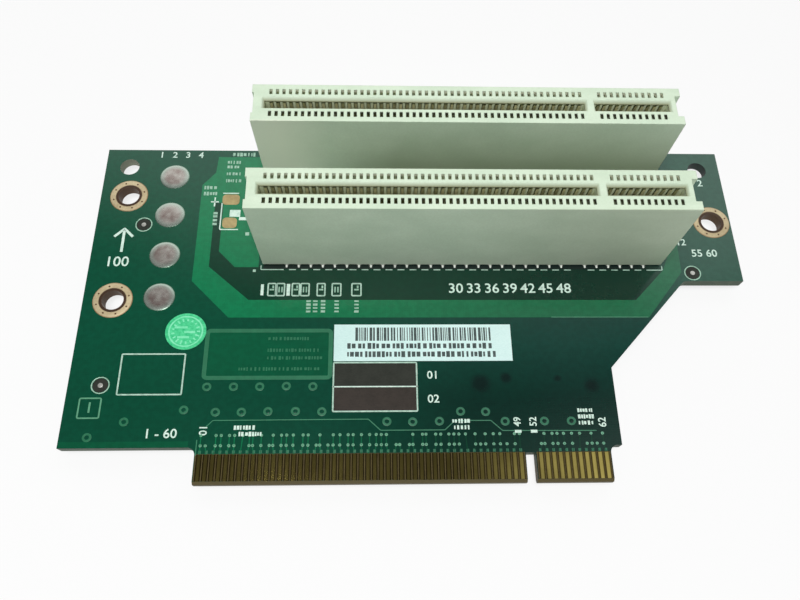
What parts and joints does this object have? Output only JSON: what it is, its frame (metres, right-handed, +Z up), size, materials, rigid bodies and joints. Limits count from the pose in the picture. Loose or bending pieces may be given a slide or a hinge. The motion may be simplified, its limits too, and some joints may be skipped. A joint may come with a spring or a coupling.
{
  "type": "riser board",
  "caption": "Flat riser circuit board with a keyed gold-finger tongue along one edge and keyed ivory card slots along the opposite edge, with screw holes for a bracket.",
  "frame": {"origin": "under the middle of the board, at the level of the contact tails it lies on", "axes": "+X along the card slots, from the wide end to the arm, +Y from the tongue to the slots, +Z up out of the slots"},
  "size_m": [0.1386, 0.0776, 0.0191],
  "materials": {
    "solder_mask": "satin",
    "slot_plastic": "matte",
    "contact_metal": "satin",
    "gold_plating": "polished",
    "label_paper": "matte",
    "sticker_paper": "satin"
  },
  "bodies": {
    "root": {"circuit_board": "solder_mask", "front_slot_housing": "slot_plastic", "rear_slot_housing": "slot_plastic", "front_slot_near_inner_contacts": "contact_metal", "front_slot_near_outer_contacts": "contact_metal", "front_slot_far_inner_contacts": "contact_metal", "front_slot_far_outer_contacts": "contact_metal", "rear_slot_near_inner_contacts": "contact_metal", "rear_slot_near_outer_contacts": "contact_metal", "rear_slot_far_inner_contacts": "contact_metal", "rear_slot_far_outer_contacts": "contact_metal", "upper_edge_fingers": "gold_plating", "lower_edge_fingers": "gold_plating", "paper_label": "label_paper", "round_sticker": "sticker_paper"}
  },
  "joints": []
}
